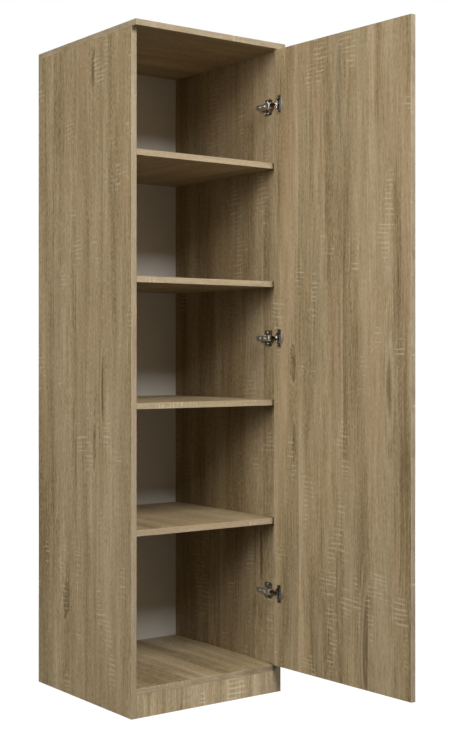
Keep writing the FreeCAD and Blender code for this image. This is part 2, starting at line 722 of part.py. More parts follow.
def inner_levers(hinge):
    """The pair of levers that stands above and below the outer one."""
    pair = [
        lever(f"inner_lever_{hinge}_high", "inner_lever_low", "inner_lever_high"),
        lever(f"inner_lever_{hinge}_low", "-inner_lever_high", "-inner_lever_low"),
    ]
    return gathered(f"hinge_inner_levers_{hinge}", pair)


# ---------------------------------------------------------------- hinge pieces on the door
# They are drawn in the door's own frame: X from the hinge edge across the door, Y from the
# inner face into the board, Z up.

FLANGE_TOP = "-cup_flange_height"


def hinge_cup(hinge):
    """A round cup with a thin rim and a straight flange; its opening is closed on the far side."""
    x = "cup_inset"
    body = rod(f"cup_body_{hinge}", "y", "cup_radius", "cup_depth", x, "0", "0")
    room = rod(f"cup_room_{hinge}", "y", "cup_radius - cup_wall", "cup_depth - cup_wall", x, "0", "0")
    bowl = cut(f"cup_bowl_{hinge}", body, [room])
    rim = rod(f"cup_ring_{hinge}", "y", "cup_rim", "cup_rim_height", x, "-cup_rim_height", "0")
    flange = box(
        f"cup_flange_{hinge}",
        (f"{x} - cup_wing_half_width", f"{x} + cup_wing_half_width"),
        (FLANGE_TOP, "0"),
        ("-cup_wing", "cup_wing"),
    )
    soft = rounded(f"cup_soft_flange_{hinge}", flange, "band", lambda edge: along(edge, "y"))
    above = rod(
        f"cup_above_{hinge}", "y", "cup_radius - cup_wall", "cup_flange_height + past",
        x, f"{FLANGE_TOP} - past", "0",
    )
    beyond = box(
        f"cup_beyond_{hinge}",
        ("cup_mouth", f"{x} + cup_radius"),
        (f"{FLANGE_TOP} - 2 * past", "past"),
        ("-cup_radius", "cup_radius"),
    )
    holes = [cut(f"cup_opening_{hinge}", above, [beyond])]
    for level, sign in (("low", "-1"), ("high", "1")):
        hole = rod(
            f"cup_bore_{hinge}_{level}", "y", "cup_screw_radius + fit_gap", "cup_flange_height + 2 * past",
            x, f"{FLANGE_TOP} - past", f"{sign} * cup_screw_rise",
        )
        holes.append(hole)
    lid = cut(f"cup_lid_{hinge}", joined(f"cup_face_{hinge}", [rim, soft]), holes)
    return joined(f"hinge_cup_{hinge}", [bowl, lid])


def cup_screws(hinge):
    """Two wood screws through the ends of the cup's flange."""
    screws = []
    top = f"({FLANGE_TOP} - cup_screw_head_height)"
    for level, sign in (("low", "-1"), ("high", "1")):
        z = f"{sign} * cup_screw_rise"
        shank = rod(
            f"cup_shank_{hinge}_{level}", "y", "cup_screw_radius", "cup_flange_height + cup_screw_depth",
            "cup_inset", FLANGE_TOP, z,
        )
        head = rod(
            f"cup_head_{hinge}_{level}", "y", "cup_screw_head", "cup_screw_head_height", "cup_inset", top, z
        )
        whole = joined(f"cup_screw_{hinge}_{level}", [shank, head])
        slots = cross_recess(f"cup_recess_{hinge}_{level}", "y", "cup_inset", top, z)
        screws.append(cut(f"cup_screw_cut_{hinge}_{level}", whole, slots))
    return gathered(f"hinge_cup_screws_{hinge}", screws)


def cup_pin(hinge):
    """The rivet that the levers turn on in the cup; its ends are held in the cup's wall."""
    rivet = rod(
        f"cup_rivet_{hinge}", "z", "hinge_pin_radius", "2 * cup_pin_half",
        "cup_pivot_inset", "cup_pivot_depth", "-cup_pin_half",
    )
    return gathered(f"hinge_cup_pin_{hinge}", [rivet])


for hinge in HINGES:
    subpart(raised(hinge_plate(hinge), hinge), f"hinge_plate_{hinge}")
    subpart(raised(plate_screws(hinge), hinge), f"hinge_plate_screws_{hinge}")
    subpart(raised(hinge_arm(hinge), hinge), f"hinge_arm_{hinge}")
    subpart(raised(arm_screws(hinge), hinge), f"hinge_arm_screws_{hinge}")
    subpart(raised(arm_pin(hinge), hinge), f"hinge_arm_pin_{hinge}")
    outer_lever = lever(f"outer_lever_{hinge}", "-lever_width / 2", "lever_width / 2")
    subpart(raised(outer_lever, hinge, lever_place), f"hinge_outer_lever_{hinge}")
    subpart(raised(inner_levers(hinge), hinge, lever_place), f"hinge_inner_levers_{hinge}")
    subpart(raised(hinge_cup(hinge), hinge, door_place), f"hinge_cup_{hinge}")
    subpart(raised(cup_screws(hinge), hinge, door_place), f"hinge_cup_screws_{hinge}")
    subpart(raised(cup_pin(hinge), hinge, door_place), f"hinge_cup_pin_{hinge}")


# ---------------------------------------------------------------- the door

DOOR_WIDTH = "(cabinet_width - 2 * door_reveal)"
DOOR_LOW = f"({FLOOR_TOP} + door_reveal)"
DOOR_HIGH = f"({SIDE_TOP} - door_reveal)"


def door_panel():
    """The laminated board of the door, bored for the hinge cups and their screws."""
    up = (f"{DOOR_LOW} + band", f"{DOOR_HIGH} - band")
    blank = box("door_blank", ("band", f"{DOOR_WIDTH} - band"), ("0", "board"), up)
    holes = []
    for hinge in HINGES:
        middle = f"hinge_height_{hinge}"
        cup_hole = rod(
            f"door_cup_hole_{hinge}", "y", "cup_radius + 2 * fit_gap", "cup_depth + 2 * fit_gap",
            "cup_inset", "0", middle,
        )
        holes.append(cup_hole)
        for level, sign in (("low", "-1"), ("high", "1")):
            hole = rod(
                f"door_screw_hole_{hinge}_{level}", "y",
                "cup_screw_radius + fit_gap", "cup_screw_depth + fit_gap",
                "cup_inset", "0", f"{middle} + {sign} * cup_screw_rise",
            )
            holes.append(hole)
    return cut("door_panel", blank, holes)


def door_bands():
    """Four strips round the door, rounded on both outer edges."""
    deep = ("0", "board")
    tall = (DOOR_LOW, DOOR_HIGH)
    wide = ("band", f"{DOOR_WIDTH} - band")
    free = (f"{DOOR_WIDTH} - band", DOOR_WIDTH)
    low, high = (DOOR_LOW, f"{DOOR_LOW} + band"), (f"{DOOR_HIGH} - band", DOOR_HIGH)
    strips = [
        band_strip("door_hinge_band", "z", ("0", "band"), deep, tall, ("x", "0")),
        band_strip("door_free_band", "z", free, deep, tall, ("x", DOOR_WIDTH)),
        band_strip("door_low_band", "x", wide, deep, low, ("z", DOOR_LOW)),
        band_strip("door_high_band", "x", wide, deep, high, ("z", DOOR_HIGH)),
    ]
    return gathered("door_edge_bands", strips)


for item, label in ((door_panel(), "door_panel"), (door_bands(), "door_edge_bands")):
    item.Placement = door_place
    subpart(item, label)


# ---------------------------------------------------------------- checks and files

doc.recompute()
for item in doc.Objects:
    if "Invalid" in item.State or "Error" in item.State:
        raise RuntimeError(f"{item.Name}: {item.State}")
labels = [item.Label for item in subparts]
if len(set(labels)) != len(labels):
    raise RuntimeError("two sub-parts share a label")
os.makedirs("parts", exist_ok=True)
for item in subparts:
    if item.Shape.isNull() or not item.Shape.isValid() or not item.Shape.Solids:
        raise RuntimeError(f"{item.Label} has no valid solid")
    item.Shape.exportStep(f"parts/{item.Label}.step")
print(f"{len(subparts)} sub-parts")
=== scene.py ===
import math

import bmesh
import bpy
from bpy.props import FloatProperty, FloatVectorProperty, PointerProperty
from mathutils import Matrix, Vector


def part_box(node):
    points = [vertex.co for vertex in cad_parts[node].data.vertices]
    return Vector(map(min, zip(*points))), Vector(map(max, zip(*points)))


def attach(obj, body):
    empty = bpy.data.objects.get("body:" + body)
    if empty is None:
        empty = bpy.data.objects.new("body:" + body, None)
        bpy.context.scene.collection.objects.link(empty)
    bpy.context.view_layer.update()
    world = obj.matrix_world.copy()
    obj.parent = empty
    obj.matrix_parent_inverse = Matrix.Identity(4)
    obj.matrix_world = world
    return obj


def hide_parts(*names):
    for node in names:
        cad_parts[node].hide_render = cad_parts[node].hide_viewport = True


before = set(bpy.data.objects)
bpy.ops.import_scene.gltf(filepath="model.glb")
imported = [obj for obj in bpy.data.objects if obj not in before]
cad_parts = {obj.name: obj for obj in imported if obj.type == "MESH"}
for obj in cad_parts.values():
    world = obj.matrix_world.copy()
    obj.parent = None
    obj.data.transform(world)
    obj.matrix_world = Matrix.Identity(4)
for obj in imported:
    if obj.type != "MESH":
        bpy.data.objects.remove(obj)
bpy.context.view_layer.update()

bl_info = {
    "name": "Store cupboard in sawn oak laminate",
    "version": (1, 0, 0),
    "blender": (4, 5, 0),
    "location": "3D View > Sidebar > Cupboard",
    "description": "Surfaces, hinges and studio for a tall one-door store cupboard",
    "category": "Object",
}

MM = 0.001
HINGES = ("top", "middle", "bottom")
X, Y, Z = Vector((1, 0, 0)), Vector((0, 1, 0)), Vector((0, 0, 1))
WHITE = (1, 1, 1, 1)
# knots and dark flames: place across and up the board, half width and half length, in mm
LEFT_FIGURES = ((187, 1705, 22, 120), (327, 263, 30, 95), (180, 700, 14, 120))
DOOR_FIGURES = ((97, 920, 20, 110), (102, 700, 14, 110))


def linear(code):
    """The linear colour, with alpha, of an sRGB hex value such as "A08A63"."""
    levels = [int(code[i : i + 2], 16) / 255 for i in (0, 2, 4)]
    return [c / 12.92 if c <= 0.04045 else ((c + 0.055) / 1.055) ** 2.4 for c in levels] + [1]


# ------------------------------------------------------------------ sizes and colours


def length(name, millimetres, description):
    """A length property."""
    return FloatProperty(name=name, description=description, default=millimetres * MM, unit="LENGTH")


class CupboardSizes(bpy.types.PropertyGroup):
    door_angle: FloatProperty(
        name="Door angle", description="How far the door stands open at rest",
        default=math.radians(93), subtype="ANGLE",
    )
    door_corner: FloatVectorProperty(
        name="Door corner", description="Hinge edge of the door's inner face, seen from above",
        default=(0.217385, -0.010146, 0), subtype="TRANSLATION", unit="LENGTH",
    )
    plank_width: FloatProperty(
        name="Plank width", description="Mean width of the planks printed on the boards, in mm",
        default=88,
    )
    arm_sheet: length("Arm sheet", 1.2, "Thickness of the hinge arm's steel")
    arm_slant: length("Arm slant", 4, "Slanted corners at the front of the hinge arm")
    wing_sheet: length("Wing thickness", 2.5, "Thickness of the mounting plate's wings")
    wing_round: length("Wing rounding", 6.3, "Rounded corners of the mounting plate's wings")
    cup_inset: length("Cup inset", 21.5, "Line of the cup's screws from the door's hinge edge")
    cup_flange: length("Cup flange", 1.4, "How far the cup's flange stands out of the door")
    cup_screw_rise: length("Cup screw rise", 20.2, "From the cup's middle up or down to a screw")
    recess: length("Screw recess", 0.9, "Depth of the cross recess in a screw's head")


def colour(name, code, description):
    """A colour property."""
    return FloatVectorProperty(
        name=name, description=description, default=linear(code), size=4, subtype="COLOR"
    )


class CupboardColours(bpy.types.PropertyGroup):
    oak_dark: colour("Oak, dark", "6C5A3B", "Flames and late wood in the oak print")
    oak_mid: colour("Oak, middle", "9C8967", "Most of the oak print")
    oak_light: colour("Oak, light", "B9A789", "Early wood in the oak print")
    oak_red: colour("Oak, reddish", "A68A6C", "Reddish streaks of the oak print")
    oak_grey: colour("Oak, greyish", "9A937B", "Greyish streaks of the oak print")
    saw_mark: colour("Saw marks", "CDC1A6", "Light marks that a saw blade leaves across the grain")
    chipboard: colour("Chipboard", "A98B5D", "Bare edges of the boards")
    hardboard: colour("Hardboard", "D6D2CB", "Painted face of the back panel")
    nickel: colour("Nickel", "C9C4BB", "Plated hinge parts")
    # the cups' brown-grey is a painted reflection of the oak round them
    nickel_painted_oak_reflection: colour("Nickel, painted oak reflection", "988E80", "Cups of the hinges")
    zinc: colour("Zinc", "B9BCC0", "Screws, pins and nails")
    # the cup screws' black is painted shade for the dimples they sit in
    black_zinc_painted_shade: colour("Black zinc, painted shade", "3A3632", "Screws of the hinge cups")
    plastic: colour("Plastic", "8F7A55", "Caps over the top screws")
    casting: colour("Casting", "A3A5A6", "Cams that draw the bolts")
    beech: colour("Beech", "C9A777", "Dowels")
    floor: colour("Floor", "6A6A68", "Paper of the studio floor")


# ------------------------------------------------------------------ materials


def node(tree, kind, inputs=(), **settings):
    """Add a shader node with its settings; each input is a value, or another node's socket to link."""
    made = tree.nodes.new("ShaderNode" + kind)
    for key, value in settings.items():
        setattr(made, key, value)
    for socket, value in dict(inputs).items():
        if isinstance(value, bpy.types.NodeSocket):
            tree.links.new(value, made.inputs[socket])
        else:
            made.inputs[socket].default_value = value
    return made


def new_material(name):
    """An empty node material and its tree."""
    material = bpy.data.materials.new(name)
    material.use_nodes = True
    material.node_tree.nodes.clear()
    return material, material.node_tree


def cover(names, material):
    """Put the material on CAD nodes."""
    for name in names:
        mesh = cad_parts[name].data
        mesh.materials.clear()
        mesh.materials.append(material)


def clouds(tree, where, size, detail, rough=0.5):
    """A noise whose clouds have a size across, along and through, in the unit of the coordinates."""
    drawn = node(tree, "Mapping", {"Vector": where, "Scale": [1 / part for part in size]})
    return node(
        tree, "TexNoise", {"Vector": drawn.outputs[0], "Scale": 1.0, "Detail": detail, "Roughness": rough}
    ).outputs["Fac"]


def oak_print(
    name, across, along, seed, tone=1.0, saturation=1.0, calm=1.0, pored=0.8, bare=False, figures=()
):
    """Melamine-faced chipboard with a printed, rough-sawn oak: planks of different tone with
    straight streaks, dark flames, fine pores and ladders of light saw marks across the grain,
    under a matt lacquer with a trace of embossed pores. A calm print has less contrast, and pored
    is how strongly the pores show. On bare boards the sawn edges and the walls of the holes show
    the chips, a warm mix of light and dark flakes. A figure is a knot or a flame at a set place:
    its middle, half its width and half its length, all in mm."""
    colours, sizes = bpy.context.scene.cupboard_colours, bpy.context.scene.cupboard_sizes
    material, tree = new_material(name)
    # the board's own axes in mm: X across the grain, Y along it and Z through the board
    through = across.cross(along)
    place = node(tree, "TexCoord").outputs
    shift = (seed * 137.0, seed * 911.0, seed * 53.0)
    board = node(
        tree, "Mapping",
        {"Vector": place["Object"], "Scale": (1 / MM,) * 3, "Location": shift,
         "Rotation": Matrix((across, along, through)).to_euler()},
    ).outputs[0]
    axes = node(tree, "SeparateXYZ", {0: board}).outputs

    # planks: each has its own tone and its own stretch of grain
    edge_drift, slide, depth = 14.0, 2700.0, 400.0
    wander = node(tree, "TexNoise", {"W": axes["Y"], "Scale": 1 / 900, "Detail": 1}, noise_dimensions="1D")
    wobble = node(
        tree, "Math", {0: wander.outputs["Fac"], 1: edge_drift, 2: axes["X"]}, operation="MULTIPLY_ADD"
    )
    rank = node(tree, "Math", {0: wobble.outputs[0], 1: 1 / sizes.plank_width}, operation="MULTIPLY")
    plank = node(
        tree, "TexVoronoi", {"W": rank.outputs[0], "Scale": 1.0, "Randomness": 0.8}, voronoi_dimensions="1D"
    )
    lot = node(tree, "SeparateColor", {0: plank.outputs["Color"]}).outputs
    slid = node(tree, "Math", {0: lot["Blue"], 1: slide, 2: axes["Y"]}, operation="MULTIPLY_ADD")
    apart = node(tree, "Math", {0: lot["Red"], 1: depth, 2: axes["Z"]}, operation="MULTIPLY_ADD")

    # the grain wanders a little to either side
    grain_drift = 26.0
    loose = node(tree, "CombineXYZ", {0: axes["X"], 1: slid.outputs[0], 2: apart.outputs[0]})
    bend = clouds(tree, loose.outputs[0], (120, 420, 90), 2.0)
    aside = node(tree, "Math", {0: bend, 1: grain_drift, 2: axes["X"]}, operation="MULTIPLY_ADD")
    grain = node(
        tree, "CombineXYZ", {0: aside.outputs[0], 1: slid.outputs[0], 2: apart.outputs[0]}
    ).outputs[0]

    broad = clouds(tree, grain, (58, 900, 40), 1.0, 0.6)
    medium = clouds(tree, grain, (11, 420, 40), 3.0, 0.6)
    fine = clouds(tree, grain, (3.2, 120, 40), 4.0, 0.7)
    # pores are about 0.2 mm wide and 5 mm long; drawn coarser so that they show
    pores = clouds(tree, grain, (2.4, 11, 40), 2.0, 0.6)

    # flames: long dark lens shapes with faint rings round them, in some places only
    ring_pace = 46.0
    flame_map = node(tree, "Mapping", {"Vector": grain, "Scale": (1 / 74, 1 / 640, 1 / 60)})
    flame = node(tree, "TexVoronoi", {"Vector": flame_map.outputs[0], "Scale": 1.0, "Randomness": 0.9})
    flame_lot = node(tree, "SeparateColor", {0: flame.outputs["Color"]}).outputs
    off_heart = flame.outputs["Distance"]
    core = node(
        tree, "MapRange",
        {"Value": off_heart, "From Min": 0.10, "From Max": 0.24, "To Min": 1.0, "To Max": 0.0},
        interpolation_type="SMOOTHSTEP",
    )
    ring = node(tree, "Math", {0: off_heart, 1: ring_pace}, operation="MULTIPLY")
    rings = node(tree, "Math", {0: ring.outputs[0]}, operation="SINE")
    ring_fade = node(
        tree, "MapRange",
        {"Value": off_heart, "From Min": 0.12, "From Max": 0.55, "To Min": 0.35, "To Max": 0.0},
    )
    ringed = node(
        tree, "Math", {0: rings.outputs[0], 1: ring_fade.outputs[0], 2: core.outputs[0]},
        operation="MULTIPLY_ADD",
    )
    chosen = node(tree, "MapRange", {"Value": flame_lot["Red"], "From Min": 0.70, "From Max": 0.88})
    flames = node(tree, "Math", {0: ringed.outputs[0], 1: chosen.outputs[0]}, operation="MULTIPLY").outputs[0]

    # figures: a dark ragged heart with a few growth rings round it
    raggedness, growth_pace = 1.3, 13.0
    ragged = clouds(tree, board, (10, 30, 40), 3.0)
    for off, up, wide, long in figures:
        centred = node(
            tree, "Mapping",
            {"Vector": board, "Scale": (1 / wide, 1 / long, 0),
             "Location": (-(off + shift[0]) / wide, -(up + shift[1]) / long, 0)},
        )
        reach = node(tree, "VectorMath", {0: centred.outputs[0]}, operation="LENGTH").outputs["Value"]
        worked = node(tree, "Math", {0: ragged, 1: raggedness, 2: reach}, operation="MULTIPLY_ADD").outputs[0]
        turns = node(tree, "Math", {0: worked, 1: growth_pace}, operation="MULTIPLY")
        growth = node(tree, "Math", {0: turns.outputs[0]}, operation="SINE")
        fade = node(
            tree, "MapRange",
            {"Value": worked, "From Min": 1.0, "From Max": 1.9, "To Min": 0.38, "To Max": 0.0},
        )
        heart = node(
            tree, "MapRange",
            {"Value": worked, "From Min": 0.75, "From Max": 1.25, "To Min": 0.8, "To Max": 0.0},
            interpolation_type="SMOOTHSTEP",
        )
        figure = node(
            tree, "Math", {0: growth.outputs[0], 1: fade.outputs[0], 2: heart.outputs[0]},
            operation="MULTIPLY_ADD",
        )
        flames = node(tree, "Math", {0: flames, 1: figure.outputs[0]}, operation="ADD").outputs[0]

    # saw marks: strokes about 12 mm apart, in ladders some 35 mm wide
    pitch, slope, unevenness, strength = 12.5, 0.05, 18.0, 0.42
    tilt = node(tree, "Math", {0: axes["X"], 1: slope, 2: axes["Y"]}, operation="MULTIPLY_ADD")
    jolt = clouds(tree, board, (120, 38, 40), 1.0)
    step = node(tree, "Math", {0: jolt, 1: unevenness, 2: tilt.outputs[0]}, operation="MULTIPLY_ADD")
    beat = node(tree, "Math", {0: step.outputs[0], 1: 2 * math.pi / pitch}, operation="MULTIPLY")
    wave = node(tree, "Math", {0: beat.outputs[0]}, operation="SINE")
    stroke = node(
        tree, "MapRange", {"Value": wave.outputs[0], "From Min": 0.15, "From Max": 0.95},
        interpolation_type="SMOOTHSTEP",
    )
    patch = clouds(tree, board, (64, 170, 40), 2.0)
    within = node(
        tree, "MapRange", {"Value": patch, "From Min": 0.585, "From Max": 0.66},
        interpolation_type="SMOOTHSTEP",
    )
    worn = clouds(tree, board, (42, 11, 40), 2.0)
    left_over = node(tree, "MapRange", {"Value": worn, "From Min": 0.36, "From Max": 0.54})
    mark = strength
    for part in (stroke, within, left_over):
        mark = node(tree, "Math", {0: part.outputs[0], 1: mark}, operation="MULTIPLY").outputs[0]

    # one scale from dark to light; a noise averages 0.5, so its middle is half of their weights
    layers = (
        (broad, 0.62), (medium, 0.36), (fine, 0.70), (lot["Green"], 0.12), (pores, pored), (flames, -0.30)
    )
    level = 0.0
    for layer, weight in layers:
        level = node(tree, "Math", {0: layer, 1: weight, 2: level}, operation="MULTIPLY_ADD").outputs[0]
    mean, spread = sum(max(weight, 0) for _, weight in layers) / 2, 0.27 * calm
    ramp = node(tree, "MapRange", {"Value": level, "From Min": mean - spread, "From Max": mean + spread})
    blend = node(tree, "ValToRGB", {0: ramp.outputs[0]})
    stops = blend.color_ramp.elements
    stops[0].color, stops[1].color = colours.oak_dark, colours.oak_light
    stops.new(0.5).color = colours.oak_mid

    # reddish and greyish drifts, and the saw marks over them; a Mix node's factor is its socket 0,
    # its colours are its sockets 6 and 7, and it gives them at output 2
    drift = clouds(tree, grain, (52, 800, 40), 2.0)
    red = node(tree, "MapRange", {"Value": drift, "From Min": 0.54, "From Max": 0.70, "To Max": 0.28})
    grey = node(tree, "MapRange", {"Value": drift, "From Min": 0.46, "From Max": 0.30, "To Max": 0.26})
    shown = blend.outputs["Color"]
    for share, tint in (
        (red.outputs[0], colours.oak_red), (grey.outputs[0], colours.oak_grey), (mark, colours.saw_mark)
    ):
        shown = node(tree, "Mix", {0: share, 6: shown, 7: tint}, data_type="RGBA").outputs[2]
    toned = node(tree, "HueSaturation", {"Color": shown, "Value": tone, "Saturation": saturation})

    shown = toned.outputs["Color"]
    height = node(tree, "Math", {0: pores, 1: fine}, operation="ADD").outputs[0]
    gloss = node(tree, "MapRange", {"Value": fine, "To Min": 0.42, "To Max": 0.58}).outputs[0]
    if bare:
        # chips about 2 mm across, lighter and darker, wherever the surface isn't the board's face
        chip_map = node(tree, "Mapping", {"Vector": board, "Scale": (1 / 2.2,) * 3})
        chip = node(tree, "TexVoronoi", {"Vector": chip_map.outputs[0], "Scale": 1.0})
        chip_lot = node(tree, "SeparateColor", {0: chip.outputs["Color"]}).outputs
        shade = node(tree, "MapRange", {"Value": chip_lot["Red"], "To Min": 0.62, "To Max": 1.22})
        chips = node(tree, "HueSaturation", {"Color": colours.chipboard, "Value": shade.outputs[0]})
        lean = node(tree, "VectorMath", {0: place["Normal"], 1: through}, operation="DOT_PRODUCT")
        faced = node(tree, "Math", {0: lean.outputs["Value"]}, operation="ABSOLUTE")
        edge = node(
            tree, "MapRange",
            {"Value": faced.outputs[0], "From Min": 0.6, "From Max": 0.7, "To Min": 1.0, "To Max": 0.0},
        ).outputs[0]
        shown = node(
            tree, "Mix", {0: edge, 6: shown, 7: chips.outputs["Color"]}, data_type="RGBA"
        ).outputs[2]
        # a float Mix has its values at sockets 2 and 3, and its result at output 0
        gloss = node(tree, "Mix", {0: edge, 2: gloss, 3: 0.85}, data_type="FLOAT").outputs[0]
        height = node(tree, "Mix", {0: edge, 2: height, 3: chip_lot["Green"]}, data_type="FLOAT").outputs[0]
    bump = node(tree, "Bump", {"Height": height, "Strength": 0.25, "Distance": 0.08 * MM})
    shader = node(
        tree, "BsdfPrincipled",
        {"Base Color": shown, "Roughness": gloss, "Normal": bump.outputs[0], "IOR": 1.5},
    )
    node(tree, "OutputMaterial", {"Surface": shader.outputs[0]})
    return material


def plain_metal(name, base, roughness, grit):
    """Plated steel or zinc: a bright metal whose plating is slightly uneven; grit is the size of
    the unevenness in mm."""
    material, tree = new_material(name)
    place = node(tree, "TexCoord").outputs["Object"]
    cloud = clouds(tree, place, (grit * MM,) * 3, 3.0)
    gloss = node(tree, "MapRange", {"Value": cloud, "To Min": roughness * 0.7, "To Max": roughness * 1.4})
    bump = node(tree, "Bump", {"Height": cloud, "Strength": 0.15, "Distance": 0.05 * MM})
    shader = node(
        tree, "BsdfPrincipled",
        {"Base Color": base, "Metallic": 1.0, "Roughness": gloss.outputs[0], "Normal": bump.outputs[0]},
    )
    node(tree, "OutputMaterial", {"Surface": shader.outputs[0]})
    return material


def matt_skin(name, base, size, detail, shades, relief, roughness, ior):
    """A plain surface, clouded from one shade of its colour to another, with a faint relief."""
    material, tree = new_material(name)
    place = node(tree, "TexCoord").outputs["Object"]
    cloud = clouds(tree, place, size, detail)
    shade = node(tree, "MapRange", {"Value": cloud, "To Min": shades[0], "To Max": shades[1]})
    toned = node(tree, "HueSaturation", {"Color": base, "Value": shade.outputs[0]})
    bump = node(tree, "Bump", {"Height": cloud, "Strength": relief, "Distance": 0.05 * MM})
    shader = node(
        tree, "BsdfPrincipled",
        {"Base Color": toned.outputs["Color"], "Roughness": roughness, "Normal": bump.outputs[0], "IOR": ior},
    )
    node(tree, "OutputMaterial", {"Surface": shader.outputs[0]})
    return material


def painted_hardboard():
    """Painted high-density fibreboard: a thin, even coat of off-white with faint fibres."""
    return matt_skin(
        "painted_hardboard", bpy.context.scene.cupboard_colours.hardboard, size=(3 * MM,) * 3,
        detail=4.0, shades=(0.94, 1.05), relief=0.1, roughness=0.6, ior=1.5,
    )


def moulded_plastic():
    """Injection-moulded polythene: an even matt brown with the fine grain of a spark-eroded mould."""
    return matt_skin(
        "moulded_brown_plastic", bpy.context.scene.cupboard_colours.plastic, size=(0.6 * MM,) * 3,
        detail=2.0, shades=(0.93, 1.07), relief=0.2, roughness=0.5, ior=1.51,
    )


def turned_beech():
    """Turned beech: pale, warm and close-grained, with short dark flecks."""
    return matt_skin(
        "turned_beech", bpy.context.scene.cupboard_colours.beech,
        size=(10 / 3 * MM, 5 / 6 * MM, 10 / 3 * MM),
        detail=3.0, shades=(0.82, 1.12), relief=0.2, roughness=0.7, ior=1.5,
    )


# ------------------------------------------------------------------ modelling by hand


def only(piece=None):
    """Leave edit mode, with just this piece selected and active, or with nothing selected."""
    if bpy.context.object and bpy.context.object.mode == "EDIT":
        bpy.ops.object.mode_set(mode="OBJECT")
    bpy.ops.object.select_all(action="DESELECT")
    if piece:
        piece.select_set(True)
        bpy.context.view_layer.objects.active = piece


def started(name):
    """Name the new primitive, fix its place in its mesh, and open it with nothing selected."""
    piece = bpy.context.object
    piece.name = name
    bpy.ops.object.transform_apply(location=True, rotation=True, scale=True)
    bpy.ops.object.mode_set(mode="EDIT")
    bpy.ops.mesh.select_all(action="DESELECT")
    return piece


def block(name, low, high):
    """A box between two corners, open for editing."""
    low, high = Vector(low), Vector(high)
    only()
    bpy.ops.mesh.primitive_cube_add(size=1, location=(low + high) / 2, scale=high - low)
    return started(name)


def disc(name, radius, low, high, axis, sides=40):
    """A round bar from one centre to another along X or Y, open for editing."""
    low, high = Vector(low), Vector(high)
    turn = (0, math.radians(90), 0) if axis == "X" else (math.radians(-90), 0, 0)
    only()
    bpy.ops.mesh.primitive_cylinder_add(
        vertices=sides, radius=radius, depth=(high - low).length, location=(low + high) / 2, rotation=turn
    )
    return started(name)


def pick(kind, test):
    """In edit mode, select only the faces or edges for which the test holds."""
    bpy.ops.mesh.select_mode(type=kind)
    bpy.ops.mesh.select_all(action="DESELECT")
    mesh = bpy.context.object.data
    work = bmesh.from_edit_mesh(mesh)
    for item in work.faces if kind == "FACE" else work.edges:
        if test(item):
            item.select_set(True)
    bmesh.update_edit_mesh(mesh)


def middle(edge):
    """The point half-way along an edge."""
    return (edge.verts[0].co + edge.verts[1].co) / 2


def runs(edge, axis):
    """Whether an edge runs along an axis vector."""
    return abs((edge.verts[0].co - edge.verts[1].co).normalized().dot(axis)) > 0.99


def apply_modifier(piece, kind, **settings):
    """Add a modifier with its settings and apply it."""
    only(piece)
    made = piece.modifiers.new(kind.lower(), kind)
    for key, value in settings.items():
        setattr(made, key, value)
    bpy.ops.object.modifier_apply(modifier=made.name)


def carve(piece, tools, operation="DIFFERENCE"):
    """Cut closed shapes out of a piece, or weld them to it, and remove them."""
    for tool in tools:
        apply_modifier(piece, "BOOLEAN", object=tool, operation=operation, solver="EXACT")
        bpy.data.objects.remove(tool)


def finished(piece, width):
    """Round the sharp edges by a width and shade the piece smooth."""
    sharp = math.radians(35)
    apply_modifier(piece, "BEVEL", width=width, segments=2, limit_method="ANGLE", angle_limit=sharp)
    bpy.ops.object.shade_smooth_by_angle(angle=sharp)
    return piece


def merged_copy(name, node_name):
    """A copy of a CAD node's mesh as whole faces, in object mode."""
    piece = bpy.data.objects.new(name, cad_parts[node_name].data.copy())
    bpy.context.scene.collection.objects.link(piece)
    only(piece)
    bpy.ops.object.mode_set(mode="EDIT")
    bpy.ops.mesh.select_all(action="SELECT")
    bpy.ops.mesh.remove_doubles(threshold=0.005 * MM)
    bpy.ops.mesh.dissolve_limited(angle_limit=math.radians(1))
    bpy.ops.object.mode_set(mode="OBJECT")
    return piece


def to_door(piece):
    """Set a piece that is drawn on the door's own axes into the open door at rest."""
    sizes = bpy.context.scene.cupboard_sizes
    only(piece)
    piece.location = sizes.door_corner
    piece.rotation_euler = (0, 0, math.pi + sizes.door_angle)
    bpy.ops.object.transform_apply(location=True, rotation=True, scale=True)
    return piece


def fit_hinges(piece, kind, body, material):
    """Place a piece made for the top hinge, and a copy of it at each other hinge."""
    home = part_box(f"{kind}_{HINGES[0]}")[0].z
    piece.data.materials.clear()
    piece.data.materials.append(material)
    for hinge in HINGES:
        each = piece
        if hinge != HINGES[0]:
            each = bpy.data.objects.new(f"{piece.name}_{hinge}", piece.data.copy())
            bpy.context.scene.collection.objects.link(each)
            each.data.transform(Matrix.Translation((0, 0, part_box(f"{kind}_{hinge}")[0].z - home)))
        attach(each, body)
        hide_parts(f"{kind}_{hinge}")
    piece.name = f"{piece.name}_{HINGES[0]}"


def screws(name, places, axis, head, rise, shank, reach):
    """Pan-head screws with a cross recess, driven along +X or +Y. Each place is the middle of a
    head's underside; head and shank are radii, rise is the head's height and reach the shank's."""
    recess = bpy.context.scene.cupboard_sizes.recess
    long, short = 0.55 * head, 0.14 * head
    along, side = (X, Y) if axis == "X" else (Y, X)
    whole = []
    for number, place in enumerate(places):
        place = Vector(place)
        one = disc(f"{name}_{number}", head, place - rise * along, place, axis)
        pick("EDGE", lambda e: (middle(e) - place).dot(along) < -0.9 * rise)
        bpy.ops.mesh.bevel(offset=0.6 * rise, segments=4, affect="EDGES")
        pick("FACE", lambda f: f.normal.dot(along) > 0.9)
        bpy.ops.mesh.inset(thickness=head - shank)
        bpy.ops.mesh.extrude_region_move(TRANSFORM_OT_translate={"value": reach * along})
        top = place - rise * along
        arms = []
        for half in (long * side + short * Z, short * side + long * Z):
            arms.append(block("recess", top - half - along * MM, top + half + along * recess))
        carve(one, arms)
        whole.append(one)
    only(whole[0])
    for one in whole:
        one.select_set(True)
    bpy.ops.object.join()
    piece = bpy.context.object
    piece.name = name
    return finished(piece, 0.12 * MM)


